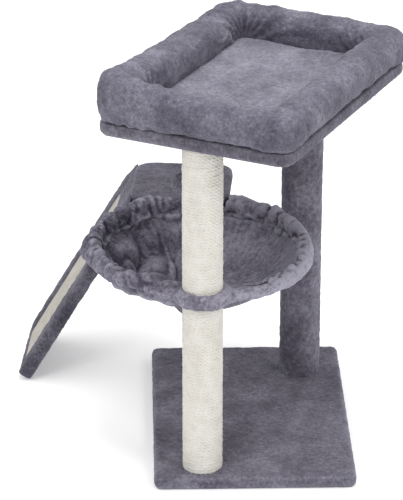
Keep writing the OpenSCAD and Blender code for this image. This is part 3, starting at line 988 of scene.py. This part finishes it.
def make_pad():
    """A thin quilt, crowned in the middle, whose border lies under the bolster."""
    border = BOLSTER_OUT + PAD_TUCK - BOLSTER_W
    width, length = PERCH_L + 2 * border, PERCH_W + 2 * border
    outline = rounded_outline(width, length, 0.012)
    obj = prism("pad", outline, BED_Z + 0.001, BED_Z + PAD_T - 0.001, 0.004)
    remesh(obj, BED_VOXEL)
    relax(obj, 3)
    puff(obj, 4, 0.004)
    subdivide(obj)
    local = points_of(obj)
    crown = np.cos(math.pi * np.clip(local[:, 0] / width, -0.5, 0.5))
    crown *= np.cos(math.pi * np.clip(local[:, 1] / length, -0.5, 0.5))
    uneven = 0.0015 * lumps(local, 0.06, 61) + 0.0008 * lumps(local, 0.025, 62)
    push(obj, uneven + 0.002 * crown)
    pile(obj, 0.0006, 63)
    keep_above(obj, BED_Z + PAD_LIFT)
    obj.data.transform(PERCH_PLACE)
    finish_piece(obj, lit_pad_plush, "bed", "plush_bed", "bed_pad")


# Basket ------------------------------------------------------

ROLL_R = 0.0165
ROLL_RISE = 0.013
ROLL_VOXEL = 0.0034
COLLAR_R, COLLAR_TUBE_R = 0.0385, 0.0125
SLING_R = HOOP_R - 0.007
SLING_DROP = 0.006
SLING_HUB_R = 0.006
SLING_RINGS, SLING_COLUMNS = 34, 168
CLOTH_T = 0.0055
HEAP_DEPTH, SPOKE_DEPTH = 0.0150, 0.0030
POCKET = (-0.150, 0.006)
POCKET_R, POCKET_DEPTH = 0.022, 0.012
THIN_TURN, SLIM_TURN = math.radians(-45), math.radians(216)
THIN_LOSS, SLIM_LOSS = 0.22, 0.34
DENT = np.array([-0.172, 0.0, 0.004])
DENT_R, DENT_DEPTH = 0.016, 0.008


def creased(noise):
    """Turns smooth noise into full bulges with sharp valleys between them."""
    return 2 * np.abs(noise) ** 0.7 - 1


def loose_side(angle):
    """One on the left of the hoop, where its cloth is gathered most, and zero on the right."""
    return smooth_step(-np.cos(angle), -0.35, 0.55)


def make_sling():
    """The basket's cloth: cut larger than the hoop, gathered on it and let sag."""
    radii = np.linspace(SLING_HUB_R, SLING_R, SLING_RINGS)
    turn = np.linspace(0, TAU, SLING_COLUMNS, endpoint=False)
    r, a = np.meshgrid(radii, turn, indexing="ij")
    share = r / SLING_R
    ball = (SLING_R**2 + SLING_DEPTH**2) / (2 * SLING_DEPTH)
    z = -SLING_DEPTH + ball - np.sqrt(ball**2 - r**2) - SLING_DROP
    points = np.stack([r * np.cos(a), r * np.sin(a), z], 2).reshape(-1, 3)
    left = smooth_step(-points[:, 0] / SLING_R, -0.5, 0.5)
    faces = grid_faces(SLING_RINGS, SLING_COLUMNS, False, True)
    hub = len(points)
    points = np.concatenate([points, [[0, 0, points[:SLING_COLUMNS, 2].mean()]]])
    faces += [[hub, (j + 1) % SLING_COLUMNS, j] for j in range(SLING_COLUMNS)]
    obj = mesh_object("basket_cloth", points, faces)
    drape(obj, left)
    crumple(obj)
    thicken(obj)
    subdivide(obj)
    pile(obj, 0.0004, 77)
    obj.data.transform(HOOP_PLACE)
    clear_of_post(obj)
    finish_piece(obj, lit_basket_plush, "stand", "plush", "basket_sling")


def crumple(obj):
    """Folds that run in from the rim, crumpled cloth with a pocket on the loose left side, and
    an edge that rises to meet the roll where that is slim."""
    points = points_of(obj)
    radius = np.hypot(points[:, 0], points[:, 1])
    angle = np.arctan2(points[:, 1], points[:, 0])
    left = loose_side(angle)
    share = radius / SLING_R
    spokes = np.stack([0.17 * np.cos(angle), 0.17 * np.sin(angle), radius * 0.35], 1)
    folds = creased(lumps(spokes, 0.042, 72)) * smooth_step(share, 0.60, 0.85)
    heap = creased(lumps(points, 0.072, 75)) + 0.6 * creased(lumps(points, 0.040, 76))
    heap += 0.08 * creased(lumps(points, 0.020, 78))
    free = 1 - smooth_step(share, 0.86, 0.96)
    amount = SPOKE_DEPTH * folds * (0.30 + left) + HEAP_DEPTH * heap * (0.05 + left)
    push(obj, -amount * free)
    pocket = np.hypot(points[:, 0] - POCKET[0], points[:, 1] - POCKET[1])
    moved = points_of(obj)
    moved[:, 2] -= POCKET_DEPTH * free * np.exp(-((pocket / POCKET_R) ** 2))
    moved[:, 2] += 0.008 * slim_part(angle) * smooth_step(share, 0.78, 0.96)
    set_points(obj, moved)


def drape(obj, left):
    """Lets the cloth sag from its pinned rim, with more spare cloth on the left."""
    count = SLING_RINGS * SLING_COLUMNS
    rim = obj.vertex_groups.new(name="rim")
    rim.add(list(range(count - SLING_COLUMNS, count)), 1.0, "REPLACE")
    spare = obj.vertex_groups.new(name="spare")
    for number, weight in enumerate(left):
        spare.add([number], float(weight), "REPLACE")
    modifier = obj.modifiers.new("drape", "CLOTH")
    cloth = modifier.settings
    cloth.quality = 6
    cloth.mass = 0.4
    cloth.tension_stiffness = 18
    cloth.compression_stiffness = 14
    cloth.shear_stiffness = 8
    cloth.bending_stiffness = 1.2
    cloth.vertex_group_mass = "rim"
    cloth.vertex_group_shrink = "spare"
    cloth.shrink_min = -0.03
    cloth.shrink_max = -0.13
    simulate(obj, modifier, DRAPE_FRAMES)


def thicken(obj):
    """Gives the sheet the thickness of cloth and pile."""
    modifier = obj.modifiers.new("cloth", "SOLIDIFY")
    modifier.thickness = CLOTH_T
    modifier.offset = 0
    bake_modifiers(obj)


def clear_of_post(obj):
    """Moves cloth that would lie in the front post out to its surface."""
    points = points_of(obj)
    dx, dy = points[:, 0] - FRONT.x, points[:, 1] - FRONT.y
    away = np.hypot(dx, dy)
    wanted = SISAL_R + 0.001
    inside = (away < wanted) & (away > 1e-6)
    scale = np.where(inside, wanted / np.maximum(away, 1e-6), 1)
    points[:, 0] = FRONT.x + dx * scale
    points[:, 1] = FRONT.y + dy * scale
    set_points(obj, points)


def slim_part(angle):
    """One where the roll is thinnest, at the front left."""
    return np.clip(np.cos(angle - SLIM_TURN), 0, 1) ** 6


def make_rim():
    """The gathered roll round the wire, and the collar of cloth at the front post."""
    columns, section = 560, 30
    a, b = ring_angles(columns, section)
    circle = HOOP_R * np.stack([np.cos(a), np.sin(a), 0 * a], 2)
    tube = ROLL_R * np.stack([np.cos(b) * np.cos(a), np.cos(b) * np.sin(a), np.sin(b)], 2)
    spots = (circle + 1.4 * tube).reshape(-1, 3)
    loose = creased(lumps(spots, 0.042, 81)) + 0.6 * creased(lumps(spots, 0.024, 82))
    tight = creased(lumps(spots, 0.017, 83))
    left = loose_side(a)
    inner_top = smooth_step(-np.cos(b) + 0.6 * np.sin(b), 0.0, 0.9)
    bulge = 0.0050 * loose.reshape(a.shape) * (0.25 + 0.75 * left) + 0.0025 * left
    bulge += 0.0040 * tight.reshape(a.shape) * inner_top * (1 - 0.6 * left)
    thin = np.clip(np.cos(a - THIN_TURN), 0, 1) ** 2
    slim = slim_part(a)
    size = (ROLL_R * (1 - THIN_LOSS * thin) + bulge) * (1 - SLIM_LOSS * slim)
    out = HOOP_R + size * np.cos(b)
    rise = ROLL_RISE * np.clip(0.6 + 0.7 * np.sin(a) + 0.35 * left, 0, 1.4)
    level = size * np.sin(b) + rise * np.maximum(np.sin(b), 0)
    level += 0.006 * slim - 0.008 * thin - 0.0015
    points = np.stack([out * np.cos(a), out * np.sin(a), level], 2).reshape(-1, 3)
    roll = mesh_object("basket_roll", points, grid_faces(columns, section, True, True))
    roll.data.transform(HOOP_PLACE)
    collar = make_collar()
    bpy.ops.object.select_all(action="DESELECT")
    roll.select_set(True)
    collar.select_set(True)
    bpy.context.view_layer.objects.active = roll
    bpy.ops.object.join()
    remesh(roll, ROLL_VOXEL)
    relax(roll, 2)
    gather(roll)
    press_under_shelf(roll)
    pile(roll, 0.0008, 85)
    finish_piece(roll, lit_basket_plush, "stand", "plush", "basket_rim")


def gather(obj):
    """Puckers of the gathered cloth: deep on the left, small and tight on the right."""
    points = points_of(obj)
    local = seen_from(points, HOOP_PLACE)
    radius = np.hypot(local[:, 0], local[:, 1])
    angle = np.arctan2(local[:, 1], local[:, 0])
    around = np.arctan2(local[:, 2], radius - HOOP_R)
    left = loose_side(angle)
    inner_top = smooth_step(-np.cos(around) + 0.7 * np.sin(around), 0.0, 0.9)
    spots = np.stack([HOOP_R * np.cos(angle), HOOP_R * np.sin(angle), 0.012 * around], 1)
    deep = creased(lumps(spots, 0.046, 86)) + 0.45 * creased(lumps(local, 0.024, 87))
    tight = creased(lumps(spots, 0.020, 88))
    away = np.hypot(points[:, 0] - FRONT.x, points[:, 1] - FRONT.y)
    broad = lumps(spots, 0.085, 89)
    dent = np.linalg.norm(local - DENT, axis=1)
    amount = (0.0040 * deep + 0.0035 * broad) * (0.12 + left) * (1 - 0.5 * slim_part(angle))
    amount += 0.0068 * tight * inner_top * (1 - 0.35 * left)
    amount -= DENT_DEPTH * np.exp(-((dent / DENT_R) ** 2))
    push(obj, amount * smooth_step(away, 0.050, 0.085))


def make_collar():
    """The gathered cloth round the front post, where the hoop is clamped."""
    columns, section = 120, 20
    a, b = ring_angles(columns, section)
    circle = np.stack([np.cos(a).ravel(), np.sin(a).ravel(), 0.3 * np.sin(b).ravel()], 1)
    radius = COLLAR_TUBE_R + 0.0018 * lumps(circle, 0.45, 91).reshape(a.shape)
    out = COLLAR_R + radius * np.cos(b)
    level = HOOP_Z - 0.002 + 1.1 * radius * np.sin(b)
    x, y = FRONT.x + out * np.cos(a), FRONT.y + out * np.sin(a)
    points = np.stack([x, y, level], 2).reshape(-1, 3)
    return mesh_object("collar", points, grid_faces(columns, section, True, True))


def press_under_shelf(obj):
    """Flattens the part of the roll that the shelf lies on."""
    points = points_of(obj)
    local = seen_from(points, SHELF_PLACE)
    under = (np.abs(local[:, 0]) < SHELF_W / 2) & (local[:, 1] > -SHELF_L / 2)
    points[under, 2] = np.minimum(points[under, 2], SHELF_Z - 0.0006)
    set_points(obj, points)


# Toy ---------------------------------------------------------


def twisted_tube(name, centres, frames, lay=0.009, closed=False):
    """A cord of three twisted plies along centres. frames has two cross directions for each
    centre, and lay is the run of one full twist."""
    sides, plies = 18, 3
    centres = np.asarray(centres)
    steps = np.linalg.norm(np.diff(centres, axis=0), axis=1)
    run = np.concatenate([[0], np.cumsum(steps)])
    around = np.linspace(0, TAU, sides, endpoint=False)
    rings = []
    for centre, (u, v), s in zip(centres, frames, run):
        ply = np.abs(np.sin(plies / 2 * (around - TAU * s / lay)))
        radius = CORD_D / 2 * (0.80 + 0.20 * ply)
        side, up = radius * np.cos(around), radius * np.sin(around)
        rings.append(centre + side[:, None] * u + up[:, None] * v)
    count = len(rings)
    points = np.concatenate(rings)
    faces = grid_faces(count, sides, closed, True)
    if not closed:
        faces += [list(range(sides))[::-1], [(count - 1) * sides + i for i in range(sides)]]
    return mesh_object(name, points, faces)


def make_string():
    """The straight cord from its loop down into the ball. Returns it with its route."""
    low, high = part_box("toy_cord")
    heights = np.linspace(high.z, low.z - 0.002, 130)
    route = [(TOY.x, TOY.y, z) for z in heights]
    cross = [(np.array([1.0, 0, 0]), np.array([0, -1.0, 0]))] * len(route)
    cord = twisted_tube("toy_string", route, cross)
    return finish_piece(cord, string, "toy", "cord", "toy_cord"), route


def make_loop():
    """The string's loop, which hangs in the ring."""
    low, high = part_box("toy_loop")
    loop_r = (high.x - low.x) / 2 - CORD_D / 2
    centre = np.array([TOY.x, TOY.y, high.z - CORD_D / 2 - loop_r])
    angles = np.linspace(0, TAU, 64, endpoint=False)
    ring = [centre + loop_r * np.array([math.cos(a), 0, math.sin(a)]) for a in angles]
    cross = [(np.array([math.cos(a), 0, math.sin(a)]), np.array([0, 1.0, 0])) for a in angles]
    loop = twisted_tube("toy_string_loop", ring, cross, lay=TAU * loop_r / 4, closed=True)
    return finish_piece(loop, string, "toy", "cord", "toy_loop")


def make_knot():
    """Three close turns of cord at the foot of the loop."""
    turns, height, radius = 3, 0.0056, 0.0021
    middle_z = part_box("toy_loop")[0].z + 0.0036
    wraps = np.linspace(0, TAU * turns, 160)
    path = [
        np.array([
            TOY.x + radius * math.cos(w),
            TOY.y + radius * math.sin(w),
            middle_z + height / 2 - height * w / (TAU * turns),
        ])
        for w in wraps
    ]
    cross = [(np.array([math.cos(w), math.sin(w), 0]), np.array([0, 0, 1.0])) for w in wraps]
    knot = twisted_tube("toy_knot", path, cross)
    return finish_piece(knot, string, "toy", "cord")


def make_ball():
    """A plush ball with short tufts."""
    bpy.ops.mesh.primitive_ico_sphere_add(subdivisions=6, radius=BALL_R - 0.001)
    ball = bpy.context.object
    ball.name = "plush_ball"
    ball.data.transform(Matrix.Translation(TOY))
    points = points_of(ball)
    push(ball, 0.0009 * lumps(points, 0.0035, 95) + 0.0009 * lumps(points, 0.008, 96))
    finish_piece(ball, plush, "toy", "plush", "toy_ball")
    return ball


def make_toy():
    """The ball on its string."""
    cord, route = make_string()
    hung = [make_loop(), make_knot(), make_ball()]


# CAD nodes that stay: a material for each --------------------


def dress_cad_nodes():
    """Gives each CAD node that stays a material with its own detail."""
    board = board_material("particle_board")
    liner = liner_material("liner")
    cardboard = cardboard_material("cardboard")
    plastic = coated_material("plug_plastic", (0.02, 0.02, 0.022), 0.5)
    wire = coated_material("black_wire", (0.015, 0.015, 0.016), 0.4)
    hook_tape = tape_material("hook_tape", (0.02, 0.02, 0.022), 700)
    loop_tape = tape_material("loop_tape", (0.05, 0.05, 0.055), 1100)
    looks = {
        board: "base_board shelf_board ramp_board perch_board",
        liner: "base_liner shelf_liner perch_liner",
        cardboard: "front_lower_tube front_upper_tube rear_left_tube rear_right_tube",
        plastic: "sisal_post_plugs plush_post_plugs",
        wire: "basket_hoop",
        hook_tape: "bed_hook_strips",
        loop_tape: "bed_loop_strips",
    }
    looks[zinc] = (
        "base_bolts base_washers joining_stud perch_bolts perch_washers shelf_bolt "
        "shelf_washer ramp_brackets ramp_screws cover_staples toy_eye toy_ring"
    )
    for material, names in looks.items():
        for name in names.split():
            mesh = nodes[name].data
            mesh.materials.clear()
            mesh.materials.append(material)


# Build -------------------------------------------------------

make_camera()
make_toy()
make_stage()
dress_cad_nodes()
make_panels()
for section in ("front_lower", "front_upper", "rear_left"):
    wound_post(section + "_rope", section + "_sisal")
plush_post()
make_ramp()
make_sling()
make_rim()
make_bolster()
make_pad()
